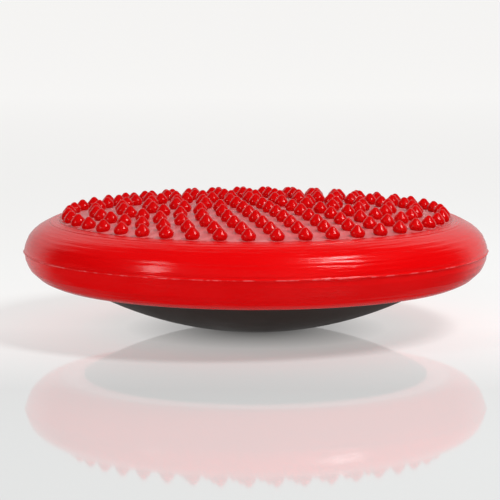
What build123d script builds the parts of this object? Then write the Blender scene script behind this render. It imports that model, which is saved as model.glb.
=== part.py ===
"""Wobble cushion: an air cushion with a studded top on a shallow rigid rocker base.

Millimetres, +Z up. The origin is the middle of the small flat at the bottom of the rocker base.
"""
from build123d import *
import math
import os

# ---- driving dimensions -------------------------------------------------------------------
overall_diameter = 400.0

# air cushion: the rim's section is two half ellipses that meet at its equator
rim_half_width = 35.0
rim_rise = 27.6
rim_drop = 28.2
equator_height = 68.6
skin = 3.0
face_radius = 178.2
face_gap = 0.3
face_rise = 12.6
rim_foot_radius = 150.0
rim_centre_radius = overall_diameter / 2 - rim_half_width
underside_height = equator_height - rim_drop
seam_height = 1.6
seam_stand_out = 0.8

# studs: one in the middle and rings around it, as far apart along a ring as between rings
stud_rings = 7
stud_ring_pitch = 162.0 / 7
stud_spoke_deg = 14.3
stud_radius = 6.0
stud_neck_radius = 4.7
stud_height = 9.9
stud_tip_round = 3.1
stud_shoulder_round = 4.0
stud_flank_deg = 42.0

# rocker base: a spherical cap with a small flat to stand on
dome_edge_radius = 149.0
dome_edge_height = 39.6
dome_lip_height = 1.6
dome_flat_radius = 20.0
dome_wall = 3.5
dome_edge_round = 0.6
channel_wall_radius = 130.5
channel_wall = 3.0
deep_rib_count = 8
edge_rib_count = 24
rib_thickness = 3.0
hub_radius = 16.0
hub_bore_radius = 12.0
rib_bite = 1.0

# deck plate and its screws
deck_radius = 124.4
deck_thickness = 5.0
deck_edge_round = 0.8
screw_count = 8
screw_circle_radius = 100.0
screw_radius = 1.9
screw_length = 12.0
screw_head_radius = 3.9
screw_head_height = 2.4
screw_recess_radius = 4.4
screw_recess_depth = 2.7
screw_clearance_radius = 2.2
screw_slot_width = 1.0
screw_slot_depth = 1.0
thread_gap = 0.05
boss_radius = 6.0
boss_hole_depth = 13.0

# bead on the underside of the cushion, which snaps in round the deck plate
bead_inner_radius = 124.8
bead_outer_radius = 130.0
barb_inner_radius = 122.8
bead_clearance = 0.3
barb_height = 1.8

# valve, low on the rim at the back: a rubber seat with a push-in plug
valve_section_angle_deg = 50.0
valve_collar_radius = 10.0
valve_collar_length = 7.0
valve_seat_radius = 6.0
valve_seat_length = 13.0
valve_seat_lip = 0.6
valve_bore_radius = 2.5
fit_gap = 0.05
plug_head_radius = 4.6
plug_head_height = 1.8
plug_stem_length = 11.0
plug_grip_radius = 2.9
plug_grip_height = 2.6


def ring(inner, outer, low, high):
    """A square-cut ring about the Z axis."""
    face = Plane.XZ * Pos((inner + outer) / 2, (low + high) / 2) * Rectangle(outer - inner, high - low)
    return revolve(face, Axis.Z)


def turned(*edges):
    """The solid of revolution of a closed outline in the XZ plane."""
    return revolve(make_face(edges), Axis.Z)


def around(count, radius, start_deg=0.0):
    """Locations evenly spaced on a circle, each turned to face outwards."""
    return [Rot(0, 0, start_deg + 360.0 * i / count) * Pos(radius, 0, 0) for i in range(count)]


# ---- air cushion ---------------------------------------------------------------------------
def face_height(radius):
    """Height of the crowned top face at a radius."""
    return face_centre_height + math.sqrt(face_sphere_radius**2 - radius**2)


def rim_point(angle_deg, inset=0.0):
    """A point of the rim's section: angle 0 is the equator, 90 the top and -90 the bottom."""
    angle = math.radians(angle_deg)
    half_height = rim_rise if angle_deg > 0 else rim_drop
    x = rim_centre_radius + (rim_half_width - inset) * math.cos(angle)
    z = equator_height + (half_height - inset) * math.sin(angle)
    return (x, 0, z)


def rim_angle(radius, inset=0.0):
    """Section angle of the rim's upper side at a radius."""
    return math.degrees(math.acos((radius - rim_centre_radius) / (rim_half_width - inset)))


lip_radius = face_radius + face_gap
crease_height = rim_point(rim_angle(lip_radius))[2]
face_sphere_radius = (face_radius**2 + face_rise**2) / (2 * face_rise)
face_centre_height = crease_height + face_rise - face_sphere_radius


def rim_arcs(end_deg, inset=0.0):
    """The rim's section from its bottom up to an angle above the equator, as two elliptical arcs."""
    plane = Plane(origin=(rim_centre_radius, 0, equator_height), x_dir=(1, 0, 0), z_dir=(0, -1, 0))
    half_width = rim_half_width - inset
    below = EllipticalCenterArc((0, 0), half_width, rim_drop - inset, start_angle=-90, arc_size=90)
    above = EllipticalCenterArc((0, 0), half_width, rim_rise - inset, start_angle=0, arc_size=end_deg)
    return plane * below, plane * above


def rim_envelope():
    """The cushion from its lip down to the middle of its underside, with the inside filled in."""
    top = rim_point(rim_angle(lip_radius))
    bottom = (0, 0, underside_height)
    middle = (0, 0, top[2])
    return turned(
        *rim_arcs(rim_angle(lip_radius)),
        Line(top, middle),
        Line(middle, bottom),
        Line(bottom, rim_point(-90)),
    )


def rim_hollow():
    """The air space inside the wall, open at the top for the face."""
    lip = rim_point(rim_angle(lip_radius, skin), skin)
    above = (lip[0], 0, crease_height + skin)
    floor_edge = rim_point(-90, skin)
    return turned(
        *rim_arcs(rim_angle(lip_radius, skin), skin),
        Line(lip, above),
        Line(above, (0, 0, above[2])),
        Line((0, 0, above[2]), (0, 0, floor_edge[2])),
        Line((0, 0, floor_edge[2]), floor_edge),
    )


def valve_plane():
    """Work plane on the rim's surface at the valve, with Z along the valve's axis, outwards."""
    x, _, z = rim_point(-valve_section_angle_deg)
    angle = math.radians(valve_section_angle_deg)
    outwards = math.cos(angle) / rim_half_width
    downwards = math.sin(angle) / rim_drop
    return Plane(origin=(0, x, z), x_dir=(1, 0, 0), z_dir=(0, outwards, -downwards))


def along_valve(radius, low, high):
    """A cylinder on the valve's axis between two distances from the rim's surface."""
    return valve_plane() * Pos(0, 0, (low + high) / 2) * Cylinder(radius, high - low)


def bead():
    """The bead under the cushion: a neck with a barb that hooks in below the deck plate."""
    deck_bottom = underside_height - deck_thickness
    barb_top = deck_bottom - bead_clearance
    neck = ring(bead_inner_radius, bead_outer_radius, barb_top - barb_height, underside_height + skin / 2)
    barb = ring(barb_inner_radius, bead_outer_radius, barb_top - barb_height, barb_top)
    return neck + barb


def cushion_rim():
    """The fat rim of the air cushion, with the collar that holds the valve."""
    envelope = rim_envelope()
    wall = envelope - rim_hollow()
    wall -= ring(0, rim_foot_radius, underside_height - skin, underside_height + 2 * skin)
    seam = ring(
        overall_diameter / 2 - skin / 2,
        overall_diameter / 2 + seam_stand_out,
        equator_height - seam_height / 2,
        equator_height + seam_height / 2,
    )
    collar = along_valve(valve_collar_radius, -valve_collar_length, 0) & envelope
    wall = wall + seam + collar
    return wall - along_valve(valve_seat_radius + fit_gap, -2 * valve_seat_length, 2 * valve_seat_length)


def cushion_underside():
    """The flat underside of the air cushion, with the bead that holds it on the base."""
    return ring(0, rim_foot_radius, underside_height, underside_height + skin) + bead()


def stud():
    """One stud, standing on the XY plane with a short root below it: a cone with a round shoulder and tip."""
    flank = math.radians(stud_flank_deg)
    tip_centre = stud_height - stud_tip_round
    shoulder_centre = stud_radius - stud_shoulder_round
    # the flank touches both rounds, which sets how high the stud is widest
    flank_distance = stud_tip_round + tip_centre * math.sin(flank)
    reach = shoulder_centre * math.cos(flank) + stud_shoulder_round
    widest = (flank_distance - reach) / math.sin(flank)

    def on_round(radius, height, size, angle):
        return (radius + size * math.cos(angle), 0, height + size * math.sin(angle))

    tip = (0, 0, stud_height)
    tip_side = on_round(0, tip_centre, stud_tip_round, (flank + math.pi / 2) / 2)
    tip_end = on_round(0, tip_centre, stud_tip_round, flank)
    shoulder_top = on_round(shoulder_centre, widest, stud_shoulder_round, flank)
    shoulder_foot = on_round(shoulder_centre, widest, stud_shoulder_round, -math.pi / 4)
    neck = (stud_neck_radius, 0, 0)
    root = -skin / 2
    return turned(
        ThreePointArc(tip, tip_side, tip_end),
        Line(tip_end, shoulder_top),
        ThreePointArc(shoulder_top, (stud_radius, 0, widest), shoulder_foot),
        Line(shoulder_foot, neck),
        Line(neck, (stud_neck_radius, 0, root)),
        Line((stud_neck_radius, 0, root), (0, 0, root)),
        Line((0, 0, root), tip),
    )


def stud_places():
    """Where the studs stand: the middle, then ring by ring, each with one stud on the same spoke."""
    places = [Pos(0, 0, face_height(0))]
    for k in range(1, stud_rings + 1):
        radius = k * stud_ring_pitch
        count = round(2 * math.pi * k)
        for i in range(count):
            angle = stud_spoke_deg - 90 + 360.0 * i / count
            places.append(Rot(0, 0, angle) * Pos(radius, 0, face_height(radius)))
    return places


def face_ball(radius):
    """A ball that gives the top face its crown, turned so that its poles lie well clear of the face."""
    return Pos(0, 0, face_centre_height) * Rot(90, 0, 0) * Sphere(radius)


def cushion_face():
    """The crowned top face of the cushion with its studs."""
    blank_low = crease_height - 2 * skin
    blank_high = crease_height + 2 * face_rise
    blank = Pos(0, 0, (blank_low + blank_high) / 2) * Cylinder(face_radius, blank_high - blank_low)
    plate = (blank & face_ball(face_sphere_radius)) - face_ball(face_sphere_radius - skin)
    one = stud()
    return plate.fuse(*[place * one for place in stud_places()])


# ---- valve ---------------------------------------------------------------------------------
def valve_seat():
    """Rubber seat pressed into the collar, bored for the plug or a pump needle."""
    body = along_valve(valve_seat_radius, -valve_seat_length, valve_seat_lip)
    return body - along_valve(valve_bore_radius, -2 * valve_seat_length, 2 * valve_seat_length)


def valve_plug():
    """Push-in plug: a flat head with a small grip, and a stem with a rounded end."""
    head = along_valve(plug_head_radius, valve_seat_lip, valve_seat_lip + plug_head_height)
    head = fillet(head.edges().filter_by(GeomType.CIRCLE).sort_by(Axis.Z)[0], plug_head_height / 3)
    grip_base = valve_seat_lip + plug_head_height - fit_gap
    grip = along_valve(plug_grip_radius, grip_base, grip_base + plug_grip_height)
    stem_radius = valve_bore_radius - fit_gap
    stem = along_valve(stem_radius, valve_seat_lip - plug_stem_length, valve_seat_lip)
    tip = valve_plane() * Pos(0, 0, valve_seat_lip - plug_stem_length) * Sphere(stem_radius)
    return head + grip + stem + tip


# ---- rocker base ---------------------------------------------------------------------------
dome_lip_foot = dome_edge_height - dome_lip_height
dome_centre_height = (dome_edge_radius**2 + dome_lip_foot**2 - dome_flat_radius**2) / (2 * dome_lip_foot)
dome_sphere_radius = math.hypot(dome_flat_radius, dome_centre_height)
deck_bottom_height = underside_height - deck_thickness


def dome_height(radius, thickness=0.0):
    """Height of the base's outer surface at a radius, or of the surface a thickness inside it."""
    return dome_centre_height - math.sqrt((dome_sphere_radius - thickness) ** 2 - radius**2)


def dome_envelope():
    """The base's outer shape, filled in up to the height of its edge."""
    flat_end = (dome_flat_radius, 0, 0)
    half = (dome_flat_radius + dome_edge_radius) / 2
    lip_foot = (dome_edge_radius, 0, dome_lip_foot)
    edge = (dome_edge_radius, 0, dome_edge_height)
    return turned(
        Line((0, 0, 0), flat_end),
        ThreePointArc(flat_end, (half, 0, dome_height(half)), lip_foot),
        Line(lip_foot, edge),
        Line(edge, (0, 0, dome_edge_height)),
        Line((0, 0, dome_edge_height), (0, 0, 0)),
    )


def dome_hollow():
    """The space inside the base's shell, open at the top."""
    floor_radius = math.sqrt((dome_sphere_radius - dome_wall) ** 2 - (dome_centre_height - dome_wall) ** 2)
    mouth_radius = math.sqrt(
        (dome_sphere_radius - dome_wall) ** 2 - (dome_centre_height - dome_edge_height) ** 2
    )
    floor_end = (floor_radius, 0, dome_wall)
    half = (floor_radius + mouth_radius) / 2
    mouth = (mouth_radius, 0, dome_edge_height)
    above = dome_edge_height + dome_wall
    return turned(
        Line((0, 0, dome_wall), floor_end),
        ThreePointArc(floor_end, (half, 0, dome_height(half, dome_wall)), mouth),
        Line(mouth, (mouth_radius, 0, above)),
        Line((mouth_radius, 0, above), (0, 0, above)),
        Line((0, 0, above), (0, 0, dome_wall)),
    )


def standing_rib(inner, outer, top):
    """A radial rib along +X from the floor of the base up to a height."""
    return Pos((inner + outer) / 2, 0, top / 2) * Box(outer - inner, rib_thickness, top)


def rocker_dome():
    """Rigid base: a thin spherical shell with ribs, a hub, screw bosses and a double-walled edge."""
    envelope = dome_envelope()
    shell = envelope - dome_hollow()
    edge = shell.edges().filter_by(GeomType.CIRCLE).group_by(Axis.Z)[-1].sort_by(SortBy.RADIUS)[-1]
    shell = fillet(edge, dome_edge_round)
    rib_end = barb_inner_radius - bead_clearance
    inside = ring(hub_bore_radius, hub_radius, 0, deck_bottom_height)
    inside += ring(channel_wall_radius, channel_wall_radius + channel_wall, 0, dome_edge_height)
    deep_rib = standing_rib(hub_radius - rib_bite, rib_end, deck_bottom_height)
    edge_rib_start = channel_wall_radius + channel_wall / 2
    edge_rib = standing_rib(edge_rib_start, dome_edge_radius - dome_wall, dome_edge_height - dome_wall)
    for i in range(deep_rib_count):
        inside += Rot(0, 0, 360.0 * i / deep_rib_count) * deep_rib
    for i in range(edge_rib_count):
        inside += Rot(0, 0, 360.0 * i / edge_rib_count) * edge_rib
    for place in screw_places():
        inside += place * Pos(0, 0, deck_bottom_height / 2) * Cylinder(boss_radius, deck_bottom_height)
    dome = shell + (inside & envelope)
    for place in screw_places():
        hole_middle = deck_bottom_height - boss_hole_depth / 2 + thread_gap
        dome -= place * Pos(0, 0, hole_middle) * Cylinder(screw_radius + thread_gap, boss_hole_depth)
    return dome


def screw_places():
    """The screws stand on a circle, midway between the deep ribs."""
    return around(screw_count, screw_circle_radius, 180.0 / screw_count)


def deck_plate():
    """The plate that closes the base and carries the cushion, with recesses for its screws."""
    middle = (deck_bottom_height + underside_height) / 2
    plate = Pos(0, 0, middle) * Cylinder(deck_radius, deck_thickness)
    plate = fillet(plate.edges().filter_by(GeomType.CIRCLE), deck_edge_round)
    for place in screw_places():
        plate -= place * Pos(0, 0, middle) * Cylinder(screw_clearance_radius, 2 * deck_thickness)
        recess_middle = underside_height - screw_recess_depth / 2
        plate -= place * Pos(0, 0, recess_middle) * Cylinder(screw_recess_radius, screw_recess_depth)
    return plate


def deck_screw():
    """One pan-head screw, standing on its shank's axis, with a cross slot."""
    seat = underside_height - screw_recess_depth
    head = Pos(0, 0, seat + screw_head_height / 2) * Cylinder(screw_head_radius, screw_head_height)
    head = fillet(head.edges().filter_by(GeomType.CIRCLE).sort_by(Axis.Z)[-1], screw_head_height / 3)
    shank = Pos(0, 0, seat - screw_length / 2) * Cylinder(screw_radius, screw_length)
    slot_middle = seat + screw_head_height - screw_slot_depth / 2
    slot = Pos(0, 0, slot_middle) * Box(screw_head_radius, screw_slot_width, screw_slot_depth)
    return head + shank - slot - Rot(0, 0, 90) * slot


def deck_screws():
    """All the deck screws, as separate solids in one part."""
    one = deck_screw()
    return Compound(children=[place * one for place in screw_places()])


makers = {
    "cushion_face": cushion_face,
    "cushion_rim": cushion_rim,
    "cushion_underside": cushion_underside,
    "valve_seat": valve_seat,
    "valve_plug": valve_plug,
    "rocker_dome": rocker_dome,
    "deck_plate": deck_plate,
    "deck_screws": deck_screws,
}

os.makedirs("parts", exist_ok=True)
for name, make in makers.items():
    export_step(make(), f"parts/{name}.step")
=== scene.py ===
"""Looks of the wobble cushion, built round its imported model, in metres in the model's frame."""

import math
import random

import bmesh
import bpy
from mathutils import Matrix, Vector, noise
from mathutils.geometry import delaunay_2d_cdt


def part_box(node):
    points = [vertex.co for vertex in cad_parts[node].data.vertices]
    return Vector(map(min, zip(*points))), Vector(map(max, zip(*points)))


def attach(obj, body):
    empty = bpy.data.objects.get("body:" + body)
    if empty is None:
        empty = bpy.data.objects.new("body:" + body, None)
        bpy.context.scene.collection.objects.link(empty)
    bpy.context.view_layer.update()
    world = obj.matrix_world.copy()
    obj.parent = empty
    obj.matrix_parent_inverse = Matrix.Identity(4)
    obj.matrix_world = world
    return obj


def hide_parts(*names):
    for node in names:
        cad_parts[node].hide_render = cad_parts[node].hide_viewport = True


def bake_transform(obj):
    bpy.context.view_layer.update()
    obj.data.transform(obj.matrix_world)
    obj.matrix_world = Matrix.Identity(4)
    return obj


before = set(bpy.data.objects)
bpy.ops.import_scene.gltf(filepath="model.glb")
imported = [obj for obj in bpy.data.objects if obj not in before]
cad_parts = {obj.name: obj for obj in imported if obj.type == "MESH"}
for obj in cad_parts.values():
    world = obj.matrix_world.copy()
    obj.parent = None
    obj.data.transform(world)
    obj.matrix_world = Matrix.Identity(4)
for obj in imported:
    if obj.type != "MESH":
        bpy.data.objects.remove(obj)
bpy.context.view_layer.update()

MM = 0.001

# ---- sizes -----------------------------------------------------------------------------------
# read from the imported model
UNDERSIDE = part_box("deck_plate")[1].z
DOME_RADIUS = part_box("rocker_dome")[1].x
FACE_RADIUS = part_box("cushion_face")[1].x

# air cushion
RIM_HALF_WIDTH = 35.0 * MM
RIM_RISE = 27.6 * MM
RIM_DROP = 28.2 * MM
RIM_CENTRE = 165.0 * MM
EQUATOR = UNDERSIDE + RIM_DROP
SEAM_STAND_OUT = 0.9 * MM
SEAM_HALF_WIDTH = 0.7 * MM
SEAM_STEP = 0.35 * MM
SEAM_WAVE = 0.5 * MM
FACE_RISE = 12.6 * MM
FACE_EDGE = 168.0 * MM
CREASE_RADIUS = 178.4 * MM
GROOVE_RADIUS = 169.0 * MM
GROOVE_HALF_WIDTH = 0.6 * MM
GROOVE_DEPTH = 1.1 * MM
RIDGE_PITCH = 2.8 * MM
RIDGE_HEIGHT = 0.2 * MM
RIDGE_SEED = 7
CREASE_ANGLE = math.acos((CREASE_RADIUS - RIM_CENTRE) / RIM_HALF_WIDTH)
CREASE_HEIGHT = EQUATOR + RIM_RISE * math.sin(CREASE_ANGLE)
CROWN_RADIUS = (FACE_RADIUS**2 + FACE_RISE**2) / (2 * FACE_RISE)
CROWN_CENTRE = CREASE_HEIGHT + FACE_RISE - CROWN_RADIUS
BAND_STEP = 0.45 * MM
BAND_PROUD = 0.5 * MM
BAND_SLOPE = 1.5 * MM
BAND_RING_PITCH = 2.4 * MM
BAND_RING_HEIGHT = 0.14 * MM
UNDERSIDE_LIFT = 0.2 * MM
RIM_STEPS = 132
AROUND = 272

# studs
STUD_RINGS = 7
STUD_PITCH = 162.0 / 7 * MM
STUD_SPOKE = math.radians(14.3 - 90)
STUD_RADIUS = 6.2 * MM
STUD_HEIGHT = 9.9 * MM
STUD_TIP_ROUND = 3.1 * MM
STUD_SHOULDER_ROUND = 4.0 * MM
STUD_FLANK = math.radians(42)
STUD_FOOT = 4.75 * MM
STUD_SIDES = 20
STUD_MARK = 0.5 * MM
FACE_POINT_SPACING = 5.2 * MM

# valve, low on the rim at the back
VALVE_ANGLE = math.radians(50)
SEAT_RADIUS = 6.0 * MM
SEAT_LENGTH = 13.0 * MM
SEAT_LIP = 0.6 * MM
BORE_RADIUS = 2.5 * MM
STEM_RADIUS = 2.4 * MM
STEM_LENGTH = 11.0 * MM
HEAD_RADIUS = 4.6 * MM
HEAD_TOP = SEAT_LIP + 1.8 * MM
GRIP_RADIUS = 2.9 * MM
GRIP_TOP = HEAD_TOP + 2.5 * MM
VALVE_SIDES = 64
BORE_PLAY = 0.05 * MM


# ---- mesh helpers ------------------------------------------------------------------------------
def new_object(name, verts, faces, material, smooth=True):
    """A mesh object from lists of points and faces."""
    mesh = bpy.data.meshes.new(name)
    mesh.from_pydata([tuple(v) for v in verts], [], faces)
    mesh.validate()
    mesh.materials.append(material)
    for polygon in mesh.polygons:
        polygon.use_smooth = smooth
    obj = bpy.data.objects.new(name, mesh)
    bpy.context.scene.collection.objects.link(obj)
    return obj


def tidy_mesh(obj, merge=1e-6):
    """Welds shared points and turns every face outwards."""
    bm = bmesh.new()
    bm.from_mesh(obj.data)
    bmesh.ops.remove_doubles(bm, verts=bm.verts, dist=merge)
    bmesh.ops.recalc_face_normals(bm, faces=bm.faces)
    bm.to_mesh(obj.data)
    bm.free()


def circle(count, radius, centre=(0.0, 0.0), start=0.0):
    """Plan points spaced evenly round a circle, from a starting angle."""
    cx, cy = centre
    turns = [start + 2 * math.pi * i / count for i in range(count)]
    return [(cx + radius * math.cos(turn), cy + radius * math.sin(turn)) for turn in turns]


def lathe(profile, count):
    """Points and faces of a profile of (radius, height) turned about Z.

    A point of the profile on the axis becomes a single point, which closes the form there.
    """
    verts, faces, rows = [], [], []
    for radius, height in profile:
        plan = circle(count, radius) if radius > 1e-9 else [(0, 0)]
        rows.append(range(len(verts), len(verts) + len(plan)))
        verts += [(x, y, height) for x, y in plan]
    for low, high in zip(rows, rows[1:]):
        for i in range(count):
            j = (i + 1) % count
            below = [low[i % len(low)], low[j % len(low)]]
            above = [high[j % len(high)], high[i % len(high)]]
            face = list(dict.fromkeys(below + above))
            if len(face) > 2:
                faces.append(face)
    return verts, faces


# ---- air cushion -------------------------------------------------------------------------------
def face_height(radius):
    """Height of the crowned top face at a radius."""
    return CROWN_CENTRE + math.sqrt(CROWN_RADIUS**2 - radius**2)


def stud_centres():
    """Plan positions of the studs: the middle, then rings spaced alike along and between them."""
    centres = [(0.0, 0.0)]
    for ring in range(1, STUD_RINGS + 1):
        centres += circle(round(2 * math.pi * ring), ring * STUD_PITCH, start=STUD_SPOKE)
    return centres


def stud_profile():
    """A stud's outline as (distance from its axis, height), from beside its tip to the skin."""
    tip_centre = STUD_HEIGHT - STUD_TIP_ROUND
    shoulder_centre = STUD_RADIUS - STUD_SHOULDER_ROUND
    # the conical flank touches both rounds, which sets how high the stud is widest
    flank_distance = STUD_TIP_ROUND + tip_centre * math.sin(STUD_FLANK)
    reach = shoulder_centre * math.cos(STUD_FLANK) + STUD_SHOULDER_ROUND
    widest = (flank_distance - reach) / math.sin(STUD_FLANK)

    points = []
    for degrees in (76, 62, 50, math.degrees(STUD_FLANK)):
        turn = math.radians(degrees)
        height = tip_centre + STUD_TIP_ROUND * math.sin(turn)
        points.append((STUD_TIP_ROUND * math.cos(turn), height))
    shoulder = []
    for degrees in (math.degrees(STUD_FLANK), 27, 12, -3, -18, -33, -44):
        turn = math.radians(degrees)
        x = shoulder_centre + STUD_SHOULDER_ROUND * math.cos(turn)
        shoulder.append((x, widest + STUD_SHOULDER_ROUND * math.sin(turn)))
    (x0, z0), (x1, z1) = points[-1], shoulder[0]
    halfway = ((x0 + x1) / 2, (z0 + z1) / 2)
    # the foot flares out on to the skin
    foot = [(0.0, 0.2), (0.3, 0.05), (0.8, 0.0)]
    foot = [(STUD_FOOT + out * MM, height * MM) for out, height in foot]
    return points + [halfway] + shoulder + foot


def face_filler(centres, patch_radius):
    """Plan points that fill the skin between the studs, clear of their patches."""
    points = []
    clear = patch_radius + 0.4 * FACE_POINT_SPACING
    reach = FACE_EDGE - 0.5 * FACE_POINT_SPACING
    rows = int(FACE_EDGE / FACE_POINT_SPACING) + 1
    for row in range(-rows, rows + 1):
        for column in range(-rows, rows + 1):
            x = (column + 0.5 * (row % 2)) * FACE_POINT_SPACING
            y = row * FACE_POINT_SPACING * math.sqrt(3) / 2
            if math.hypot(x, y) > reach:
                continue
            if all(math.hypot(x - cx, y - cy) > clear for cx, cy in centres):
                points.append((x, y))
    return points


def studded_face():
    """Points and faces of the top: a patch for every stud, with the skin stitched in between."""
    centres = stud_centres()
    profile = stud_profile()
    patch_radius = profile[-1][0]
    # a patch's edge is a polygon, so a face of the skin may have its middle just inside the circle
    patch_reach = patch_radius * 0.985
    verts, faces = [], []

    plan, edges = [], []
    circles = [(STUD_SIDES, patch_radius, centre) for centre in centres]
    circles.append((AROUND, FACE_EDGE, (0.0, 0.0)))
    for sides, radius, centre in circles:
        first = len(plan)
        plan += circle(sides, radius, centre)
        edges += [(first + i, first + (i + 1) % sides) for i in range(sides)]
    plan += face_filler(centres, patch_radius)

    points, _, skin, *_ = delaunay_2d_cdt([Vector(p) for p in plan], edges, [], 0, 1e-7)
    verts += [(point.x, point.y, face_height(point.length)) for point in points]
    for face in skin:
        x, y = sum((points[i] for i in face), Vector((0, 0))) / len(face)
        if all(math.hypot(x - cx, y - cy) > patch_reach for cx, cy in centres):
            faces.append(list(face))

    for centre in centres:
        tip = len(verts)
        verts.append((*centre, face_height(math.hypot(*centre)) + STUD_HEIGHT))
        rows = []
        for distance, height in profile:
            row = circle(STUD_SIDES, distance, centre)
            rows.append(range(len(verts), len(verts) + STUD_SIDES))
            verts += [(x, y, face_height(math.hypot(x, y)) + height) for x, y in row]
        for i in range(STUD_SIDES):
            j = (i + 1) % STUD_SIDES
            faces.append([tip, rows[0][i], rows[0][j]])
            for inner, outer in zip(rows, rows[1:]):
                faces.append([inner[i], outer[i], outer[j], inner[j]])
    return verts, faces


def ridge_profile(length):
    """The height of the mould's turning marks, as a function of distance along the section.

    The marks are unevenly spaced, so that they don't look like a thread.
    """
    rng = random.Random(RIDGE_SEED)
    marks, along = [], 0.0
    while along < length + 2 * RIDGE_PITCH:
        marks.append((along, RIDGE_HEIGHT * rng.uniform(-1, 1)))
        along += RIDGE_PITCH * rng.uniform(0.45, 1.5)

    def height(distance):
        for (low, a), (high, b) in zip(marks, marks[1:]):
            if distance < high:
                t = (distance - low) / (high - low)
                return a + (b - a) * t * t * (3 - 2 * t)
        return 0.0

    return height


def crown_band():
    """The skin outside the studs: a fine groove, then a slightly raised band with rings in it."""
    outline = []
    radius = FACE_EDGE
    while radius < CREASE_RADIUS - 0.5 * BAND_STEP:
        past_groove = radius - GROOVE_RADIUS
        groove = GROOVE_DEPTH * math.exp(-((past_groove / GROOVE_HALF_WIDTH) ** 2))
        onto_band = min(1.0, max(0.0, past_groove / BAND_SLOPE))
        ring = BAND_RING_HEIGHT * math.cos(2 * math.pi * past_groove / BAND_RING_PITCH)
        height = face_height(radius) - groove + onto_band * (BAND_PROUD + ring)
        outline.append((radius, height))
        radius += BAND_STEP
    return outline


def rim_outline():
    """The rim's outline as (radius, height), from the studded face to the underside's middle."""
    outline = crown_band()
    start = CREASE_ANGLE + 0.02
    end = -math.pi / 2
    ridge = ridge_profile(RIM_HALF_WIDTH * (start - end))
    for i in range(RIM_STEPS + 1):
        angle = start + (end - start) * i / RIM_STEPS
        # the turning marks fade in within 4 steps of the crease and out within 6 of the underside
        fade = min(1.0, i / 4) * min(1.0, (RIM_STEPS - i) / 6)
        out = fade * ridge(RIM_HALF_WIDTH * (start - angle))
        half_height = RIM_RISE if angle > 0 else RIM_DROP
        # the mould's halves meet in a thin proud line, and the lower one is slightly smaller
        from_seam = (angle * half_height) / SEAM_HALF_WIDTH
        out += SEAM_STAND_OUT * math.exp(-(from_seam**2))
        below_seam = max(0.0, -from_seam)
        out -= SEAM_STEP * min(1.0, below_seam) * math.exp(-below_seam / 12)
        radius = RIM_CENTRE + (RIM_HALF_WIDTH + out) * math.cos(angle)
        height = EQUATOR + (half_height + out) * math.sin(angle)
        outline.append((radius, height))
    for radius in (DOME_RADIUS - 20 * MM, 0.0):
        outline.append((radius, UNDERSIDE + UNDERSIDE_LIFT))
    return outline


def air_cushion(material):
    """The whole moulded cushion as one closed skin."""
    verts, faces = studded_face()
    rim_verts, rim_faces = lathe(rim_outline(), AROUND)
    shift = len(verts)
    verts += rim_verts
    faces += [[i + shift for i in face] for face in rim_faces]
    cushion = new_object("air_cushion", verts, faces, material)
    tidy_mesh(cushion, 2e-6)
    roughen_seam(cushion.data)
    bore_for_valve(cushion)
    mark_studs(cushion.data)
    return cushion


def roughen_seam(mesh):
    """Makes the seam's proud line come and go round the rim, as the flash of a mould does."""
    long_waves, short_waves = 19.0, 61.0
    for vertex in mesh.vertices:
        x, y, z = vertex.co
        radius = math.hypot(x, y)
        near = math.exp(-(((z - EQUATOR) / SEAM_HALF_WIDTH) ** 2))
        if near < 0.05 or radius < RIM_CENTRE:
            continue
        turn = Vector((x, y, 0)) / radius
        wave = noise.noise(turn * long_waves) + 0.6 * noise.noise(turn * short_waves)
        wanted = radius + SEAM_WAVE * near * wave
        vertex.co = (x * wanted / radius, y * wanted / radius, z)


def mark_studs(mesh):
    """Stores how far up a stud a point is: 0 on the skin, 1 from STUD_MARK up and on the rim."""
    marks = mesh.attributes.new("stud", "FLOAT", "POINT")
    for vertex, mark in zip(mesh.vertices, marks.data):
        radius = math.hypot(vertex.co.x, vertex.co.y)
        above = vertex.co.z - face_height(radius)
        mark.value = 1.0 if radius > FACE_EDGE else min(1.0, max(0.0, above / STUD_MARK))


# ---- valve -------------------------------------------------------------------------------------
def valve_place():
    """The valve's own frame: its origin on the rim's surface, and Z along its axis, outwards."""
    out, down = math.cos(VALVE_ANGLE), math.sin(VALVE_ANGLE)
    along = Vector((0, out / RIM_HALF_WIDTH, -down / RIM_DROP)).normalized()
    across = Vector((1, 0, 0))
    place = Matrix((across, along.cross(across), along)).transposed().to_4x4()
    place.translation = (0, RIM_CENTRE + RIM_HALF_WIDTH * out, EQUATOR - RIM_DROP * down)
    return place


def valve_piece(name, profile, material):
    """A piece turned about the valve's axis; the profile holds (radius, distance outwards)."""
    verts, faces = lathe(profile, VALVE_SIDES)
    place = valve_place()
    piece = new_object(name, [place @ Vector(v) for v in verts], faces, material)
    tidy_mesh(piece)
    piece.data.set_sharp_from_angle(angle=math.radians(35))
    return piece


def bore_for_valve(cushion):
    """Opens the cushion's skin where the valve seat sits."""
    radius, reach = SEAT_RADIUS + BORE_PLAY, SEAT_LENGTH
    profile = [(0, -reach), (radius, -reach), (radius, reach), (0, reach)]
    cutter = valve_piece("valve_bore", profile, cushion.data.materials[0])
    cut = cushion.modifiers.new("bore", "BOOLEAN")
    cut.object = cutter
    cut.operation = "DIFFERENCE"
    bpy.context.view_layer.update()
    evaluated = cushion.evaluated_get(bpy.context.evaluated_depsgraph_get())
    cut_mesh = bpy.data.meshes.new_from_object(evaluated)
    cushion.modifiers.clear()
    cushion.data = cut_mesh
    bpy.data.objects.remove(cutter)


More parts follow.
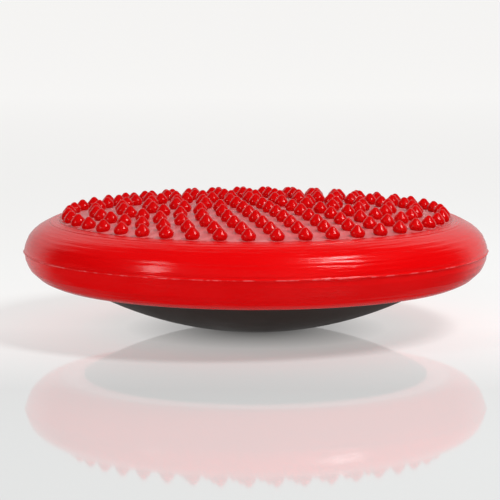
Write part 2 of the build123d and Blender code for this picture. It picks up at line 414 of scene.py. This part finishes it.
def seat(material):
    """The valve seat: a short rubber tube with a rounded lip that stands proud of the rim."""
    edge = 0.3 * MM
    profile = [
        (BORE_RADIUS, -SEAT_LENGTH),
        (SEAT_RADIUS, -SEAT_LENGTH),
        (SEAT_RADIUS, SEAT_LIP - edge),
        (SEAT_RADIUS - 0.3 * edge, SEAT_LIP - 0.3 * edge),
        (SEAT_RADIUS - edge, SEAT_LIP),
        (BORE_RADIUS + 2 * edge, SEAT_LIP),
        (BORE_RADIUS + 0.6 * edge, SEAT_LIP - 0.4 * edge),
        (BORE_RADIUS, SEAT_LIP - 2 * edge),
        (BORE_RADIUS, -SEAT_LENGTH),
    ]
    return valve_piece("seat", profile, material)


def plug(material):
    """The push-in plug: a stem with a rounded end, a flat head and a small waisted grip."""
    tip = SEAT_LIP - STEM_LENGTH
    profile = [(0, tip - STEM_RADIUS)]
    for degrees in (15, 30, 45, 60, 75, 90):
        turn = math.radians(degrees)
        out, back = STEM_RADIUS * math.sin(turn), STEM_RADIUS * math.cos(turn)
        profile.append((out, tip - back))
    edge = 0.35 * MM
    profile += [
        (STEM_RADIUS, SEAT_LIP),
        (HEAD_RADIUS - edge, SEAT_LIP),
        (HEAD_RADIUS, SEAT_LIP + edge),
        (HEAD_RADIUS, HEAD_TOP - edge),
        (HEAD_RADIUS - 0.3 * edge, HEAD_TOP - 0.3 * edge),
        (HEAD_RADIUS - edge, HEAD_TOP),
        (GRIP_RADIUS, HEAD_TOP),
        (GRIP_RADIUS - edge, HEAD_TOP + edge),
        (GRIP_RADIUS - edge, GRIP_TOP - 2.5 * edge),
        (GRIP_RADIUS, GRIP_TOP - 2 * edge),
        (GRIP_RADIUS, GRIP_TOP - edge),
        (GRIP_RADIUS - edge, GRIP_TOP),
        (0, GRIP_TOP),
    ]
    return valve_piece("plug", profile, material)


# ---- materials ---------------------------------------------------------------------------------
VINYL_START = (0.8, 0.001, 0.002)
RIM_RED_DARK = (0.74, 0.0008, 0.0016)
RIM_RED_LIGHT = (0.84, 0.0012, 0.002)
# the studs' red is darker than the rim's: painted shade among the studs
STUD_RED_PAINTED_SHADE = (0.66, 0.0008, 0.0016)
# the skin's paler pink is the vinyl's red with a painted reflection of the bright backdrop
SKIN_RED_AND_PAINTED_REFLECTION = (0.80, 0.07, 0.077)
# pale dashes on the seam: painted highlights of the mould's flash
SEAM_GLINT_PINK = (0.92, 0.22, 0.23)
SHEEN_TINT = (1, 0.86, 0.86)
SHEEN_ROUGHNESS = 0.35
VINYL_SPECULAR = 0.23
VINYL_SMOOTH = 0.15
VINYL_ROUGH = 0.22
SKIN_ROUGHER = 0.16
SEAM_ROUGHER = 0.22


def new_material(name, colour, roughness):
    """A new material, its node tree and its shader, starting from a plain colour and roughness."""
    made = bpy.data.materials.new(name)
    made.use_nodes = True
    shader = made.node_tree.nodes["Principled BSDF"]
    shader.inputs["Base Color"].default_value = (*colour, 1)
    shader.inputs["Roughness"].default_value = roughness
    return made, made.node_tree, shader


def node(tree, kind, inputs=(), **settings):
    """A node with its settings; inputs maps a socket's name or number to a value or an output."""
    made = tree.nodes.new(kind)
    for key, value in settings.items():
        setattr(made, key, value)
    for key, value in dict(inputs).items():
        if isinstance(value, bpy.types.NodeSocket):
            tree.links.new(value, made.inputs[key])
        else:
            made.inputs[key].default_value = value
    return made


def maths(tree, operation, *values):
    """One sum on numbers or outputs."""
    return node(tree, "ShaderNodeMath", dict(enumerate(values)), operation=operation).outputs[0]


def vector_maths(tree, operation, *values, output=0):
    """One sum on vectors or outputs."""
    made = node(tree, "ShaderNodeVectorMath", dict(enumerate(values)), operation=operation)
    return made.outputs[output]


def map_range(tree, value, low, high, at_low, at_high):
    """A value that goes evenly from at_low to at_high as the input goes from low to high."""
    inputs = {0: value, 1: low, 2: high, 3: at_low, 4: at_high}
    return node(tree, "ShaderNodeMapRange", inputs).outputs[0]


def noise_pattern(tree, place, scale, detail, roughness=0.5):
    """Soft noise between 0 and 1."""
    inputs = {"Vector": place, "Scale": scale, "Detail": detail, "Roughness": roughness}
    return node(tree, "ShaderNodeTexNoise", inputs).outputs["Fac"]


def mix_colours(tree, share, first, second):
    """A share of the second colour in the first; each is three numbers or an output."""
    inputs = {0: share}
    for socket, colour in ((6, first), (7, second)):
        is_output = isinstance(colour, bpy.types.NodeSocket)
        inputs[socket] = colour if is_output else (*colour, 1)
    return node(tree, "ShaderNodeMix", inputs, data_type="RGBA").outputs[2]


def ramp(tree, value, *stops):
    """A colour ramp with stops of (place, grey level)."""
    made = node(tree, "ShaderNodeValToRGB", {0: value})
    elements = made.color_ramp.elements
    while len(elements) < len(stops):
        elements.new(0.5)
    for element, (place, level) in zip(elements, stops):
        element.position = place
        element.color = (level, level, level, 1)
    return made.outputs[0]


def object_place(tree):
    """The point's place on the object."""
    return node(tree, "ShaderNodeTexCoord").outputs["Object"]


def bumped(tree, shader, height, strength, depth):
    """Bends the shader's normals by a height pattern."""
    inputs = {"Height": height, "Strength": strength, "Distance": depth}
    tree.links.new(node(tree, "ShaderNodeBump", inputs).outputs[0], shader.inputs["Normal"])


def turned_coordinates(tree, around, along):
    """Coordinates that follow the rim: slow round it, and quick across its section.

    Also returned are the radius from the middle and the angle round the rim's section.
    """
    x, y, z = node(tree, "ShaderNodeSeparateXYZ", {0: object_place(tree)}).outputs
    flat = node(tree, "ShaderNodeCombineXYZ", {0: x, 1: y}).outputs[0]
    radius = vector_maths(tree, "LENGTH", flat, output="Value")
    unit = vector_maths(tree, "NORMALIZE", flat)
    out = maths(tree, "SUBTRACT", radius, RIM_CENTRE)
    up = maths(tree, "SUBTRACT", z, EQUATOR)
    section = maths(tree, "ARCTAN2", up, out)
    spin = vector_maths(tree, "MULTIPLY", unit, (around, around, 0))
    across = maths(tree, "MULTIPLY", section, along)
    lift = node(tree, "ShaderNodeCombineXYZ", {2: across}).outputs[0]
    return vector_maths(tree, "ADD", spin, lift), radius, section


def cushion_vinyl():
    """Soft moulded red vinyl: glossy rim with turning marks, glossy studs, matt skin between."""
    made, tree, shader = new_material("cushion_vinyl", VINYL_START, VINYL_ROUGH)
    shader.inputs["Specular IOR Level"].default_value = VINYL_SPECULAR
    follow, radius, section = turned_coordinates(tree, around=3.0, along=6.0)
    place = object_place(tree)
    cloud = noise_pattern(tree, place, 14.0, 3.0)
    stud = node(tree, "ShaderNodeAttribute", attribute_name="stud").outputs["Fac"]
    skin = maths(tree, "SUBTRACT", 1.0, stud)
    rim = map_range(tree, radius, FACE_EDGE, FACE_EDGE + 6 * MM, 0.0, 1.0)
    seam_line = map_range(tree, maths(tree, "ABSOLUTE", section), 0.003, 0.018, 1.0, 0.0)

    # the turning marks are on the rim only, and the skin between the studs has a coarser grain
    marks = noise_pattern(tree, follow, 1.6, 3.0, roughness=0.6)
    grain = noise_pattern(tree, place, 700.0, 2.0)
    marks_height = maths(tree, "MULTIPLY", marks, rim)
    grain_share = maths(tree, "MULTIPLY_ADD", skin, 0.5, 0.03)
    height = maths(tree, "MULTIPLY_ADD", grain, grain_share, marks_height)
    bumped(tree, shader, height, 1.0, 0.6 * MM)

    # handled patches are a little rougher, the skin is matt, and so is the seam's line
    gloss = map_range(tree, cloud, 0.3, 0.7, VINYL_SMOOTH, VINYL_ROUGH)
    rough = maths(tree, "MULTIPLY_ADD", skin, SKIN_ROUGHER, gloss)
    rough = maths(tree, "MULTIPLY_ADD", seam_line, SEAM_ROUGHER, rough)
    tree.links.new(rough, shader.inputs["Roughness"])

    # the rim's red varies in soft patches, and its seam has pale dashes here and there, painted
    # highlights where the mould's flash catches the light
    rim_red = mix_colours(tree, cloud, RIM_RED_DARK, RIM_RED_LIGHT)
    # the pale seam patches are painted highlights
    patches = noise_pattern(tree, place, 110.0, 2.0)
    glint_patches = map_range(tree, patches, 0.48, 0.60, 0.0, 0.55)
    seam_glints = maths(tree, "MULTIPLY", maths(tree, "MULTIPLY", seam_line, glint_patches), rim)
    rim_red_and_glints = mix_colours(tree, seam_glints, rim_red, SEAM_GLINT_PINK)

    # the studs are a deeper red, which is painted shade among them, and the skin between them is
    # paler, which is a painted reflection of the bright backdrop, with a soft sheen
    top = mix_colours(tree, rim, STUD_RED_PAINTED_SHADE, rim_red_and_glints)
    # the paler skin colour is partly a painted reflection
    tree.links.new(mix_colours(tree, skin, top, SKIN_RED_AND_PAINTED_REFLECTION), shader.inputs["Base Color"])
    tree.links.new(skin, shader.inputs["Sheen Weight"])
    shader.inputs["Sheen Roughness"].default_value = SHEEN_ROUGHNESS
    shader.inputs["Sheen Tint"].default_value = (*SHEEN_TINT, 1)
    return made


def grained(name, dark, light, smooth, rough, grain_size, grain_depth=0.3 * MM):
    """A moulded finish: two close colours and roughnesses in soft patches, and a fine grain."""
    made, tree, shader = new_material(name, dark, smooth)
    place = object_place(tree)
    grain = noise_pattern(tree, place, 2.0 / grain_size, 3.0)
    cloud = noise_pattern(tree, place, 22.0, 4.0)
    bumped(tree, shader, grain, 0.25, grain_depth)
    gloss = map_range(tree, cloud, 0.3, 0.7, smooth, rough)
    tree.links.new(gloss, shader.inputs["Roughness"])
    tree.links.new(mix_colours(tree, cloud, dark, light), shader.inputs["Base Color"])
    return made


def screw_steel():
    """Zinc-plated steel with a faint grain."""
    made = grained(
        "screw_steel",
        dark=(0.58, 0.58, 0.57),
        light=(0.66, 0.66, 0.63),
        smooth=0.28,
        rough=0.42,
        grain_size=0.6 * MM,
        grain_depth=0.05 * MM,
    )
    made.node_tree.nodes["Principled BSDF"].inputs["Metallic"].default_value = 1.0
    return made


# ---- build -------------------------------------------------------------------------------------
base_plastic = grained(
    "base_plastic",
    dark=(0.036, 0.023, 0.019),
    light=(0.052, 0.035, 0.029),
    smooth=0.38,
    rough=0.52,
    grain_size=1.4 * MM,
)
deck_plastic = grained(
    "deck_plastic",
    dark=(0.044, 0.044, 0.046),
    light=(0.056, 0.056, 0.058),
    smooth=0.46,
    rough=0.60,
    grain_size=1.2 * MM,
)
valve_rubber = grained(
    "valve_rubber",
    dark=(0.25, 0.008, 0.008),
    light=(0.34, 0.012, 0.012),
    smooth=0.50,
    rough=0.64,
    grain_size=0.5 * MM,
    grain_depth=0.1 * MM,
)
plug_plastic = grained(
    "plug_plastic",
    dark=(0.72, 0.70, 0.65),
    light=(0.77, 0.76, 0.72),
    smooth=0.24,
    rough=0.34,
    grain_size=0.8 * MM,
    grain_depth=0.05 * MM,
)

cushion = air_cushion(cushion_vinyl())
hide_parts(*[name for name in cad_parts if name.startswith("cushion_")])
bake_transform(cushion)

valve_seat = seat(valve_rubber)
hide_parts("valve_seat")
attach(valve_seat, "base")

valve_plug = plug(plug_plastic)
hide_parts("valve_plug")
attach(valve_plug, "plug")

CAD_FINISHES = {
    "rocker_dome": base_plastic,
    "deck_plate": deck_plastic,
    "deck_screws": screw_steel(),
}
for name, finish in CAD_FINISHES.items():
    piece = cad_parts[name]
    piece.data.materials.clear()
    piece.data.materials.append(finish)


# ---- stage, lights and camera ------------------------------------------------------------------
FLOOR_HALF_SIDE = 40.0
FLOOR_COLOUR = (0.60, 0.62, 0.62)
FLOOR_GLOW = (1, 0.98, 0.96)
FLOOR_MIRROR = 0.37
LIGHT_TARGET = Vector((0, 0, 0.07))
CAMERA_DISTANCE = 2.2
CAMERA_ELEVATION = math.radians(9.04)
CAMERA_TARGET = Vector((-0.00505, 0, 0.0676))
CAMERA_LENS = 181.8
CAMERA_SENSOR = 36


def floor():
    """A pale, polished floor that runs out to the horizon, with a faint glow of its own.

    The glow is painted light: weak in front of the cushion, fading under it as a painted contact
    shadow, and strong behind it. The floor mirrors the cushion, but isn't seen in the cushion's
    own reflections.
    """
    made, tree, shader = new_material("floor", FLOOR_COLOUR, 1.0)
    shader.inputs["Specular IOR Level"].default_value = 0.0
    place = object_place(tree)
    behind = node(tree, "ShaderNodeSeparateXYZ", {0: place}).outputs[1]
    near_glow = map_range(tree, behind, -0.3, 0.0, 0.36, 0.73)
    far_glow = map_range(tree, behind, 0.1, 3.0, 0.0, 0.26)
    # the glow fades out round the cushion's foot: a painted contact shadow
    away = vector_maths(tree, "LENGTH", place, output="Value")
    glow_outside_painted_shadow = map_range(tree, away, 0.02, 0.115, 0.1, 1.0)
    glow = maths(tree, "MULTIPLY", maths(tree, "ADD", near_glow, far_glow), glow_outside_painted_shadow)
    tree.links.new(glow, shader.inputs["Emission Strength"])
    shader.inputs["Emission Color"].default_value = (*FLOOR_GLOW, 1)
    polish = node(tree, "ShaderNodeBsdfGlossy", {"Roughness": 0.04})
    both = {0: FLOOR_MIRROR, 1: shader.outputs[0], 2: polish.outputs[0]}
    surface = node(tree, "ShaderNodeMixShader", both).outputs[0]
    tree.links.new(surface, tree.nodes["Material Output"].inputs["Surface"])

    side = FLOOR_HALF_SIDE
    verts = [(-side, -side, 0), (side, -side, 0), (side, side, 0), (-side, side, 0)]
    obj = new_object("floor", verts, [[0, 1, 2, 3]], made, smooth=False)
    obj.visible_glossy = False


def aimed(obj, target):
    """Turns a light or the camera to face a point."""
    obj.rotation_euler = (target - obj.location).to_track_quat("-Z", "Y").to_euler()


def area_light(name, direction, distance, width, height, power, glossy=True):
    """A soft box facing the cushion from a direction; with glossy off, it leaves no highlight."""
    light = bpy.data.lights.new(name, "AREA")
    light.shape = "RECTANGLE"
    light.size, light.size_y = width, height
    light.energy = power
    obj = bpy.data.objects.new(name, light)
    bpy.context.scene.collection.objects.link(obj)
    obj.visible_glossy = glossy
    obj.location = LIGHT_TARGET + Vector(direction).normalized() * distance
    aimed(obj, LIGHT_TARGET)


def sky_light():
    """A broad even light from nearly overhead, which reaches the whole floor."""
    light = bpy.data.lights.new("sky", "SUN")
    light.energy = 0.55
    light.angle = math.radians(120)
    obj = bpy.data.objects.new("sky", light)
    obj.visible_glossy = False
    bpy.context.scene.collection.objects.link(obj)
    obj.rotation_euler = (math.radians(18), 0, 0)


def studio():
    """The surroundings: bright behind the cushion, dark on the camera's side and dim below it."""
    world = bpy.data.worlds.new("studio")
    world.use_nodes = True
    tree = world.node_tree
    direction = node(tree, "ShaderNodeTexCoord").outputs["Generated"]
    _, back, up = node(tree, "ShaderNodeSeparateXYZ", {0: direction}).outputs
    from_front = maths(tree, "MULTIPLY_ADD", back, 0.5, 0.5)
    level = ramp(tree, from_front, (0.74, 0.03), (0.86, 0.75), (0.96, 0.6))
    above = map_range(tree, up, -0.45, -0.2, 0.2, 1.0)
    background = tree.nodes["Background"]
    tree.links.new(maths(tree, "MULTIPLY", level, above), background.inputs["Color"])
    background.inputs["Strength"].default_value = 1.0
    bpy.context.scene.world = world


def camera():
    """A long lens a little above the cushion."""
    lens = bpy.data.cameras.new("camera")
    lens.sensor_width = CAMERA_SENSOR
    lens.lens = CAMERA_LENS
    obj = bpy.data.objects.new("camera", lens)
    bpy.context.scene.collection.objects.link(obj)
    back, up = math.cos(CAMERA_ELEVATION), math.sin(CAMERA_ELEVATION)
    obj.location = (0, -CAMERA_DISTANCE * back, CAMERA_DISTANCE * up)
    aimed(obj, CAMERA_TARGET)
    bpy.context.scene.camera = obj


floor()
sky_light()
area_light(
    "fill",
    direction=(-0.1, -1.0, 0.3),
    distance=2.6,
    width=5.0,
    height=1.4,
    power=18,
    glossy=False,
)
area_light(
    "upper_right",
    direction=(0.49, -0.36, 0.76),
    distance=1.6,
    width=0.38,
    height=0.55,
    power=16,
)
area_light(
    "left_strip",
    direction=(-0.70, -0.58, 0.40),
    distance=1.8,
    width=0.2,
    height=0.7,
    power=6.3,
)
studio()
camera()
bpy.context.scene.view_settings.view_transform = "Standard"
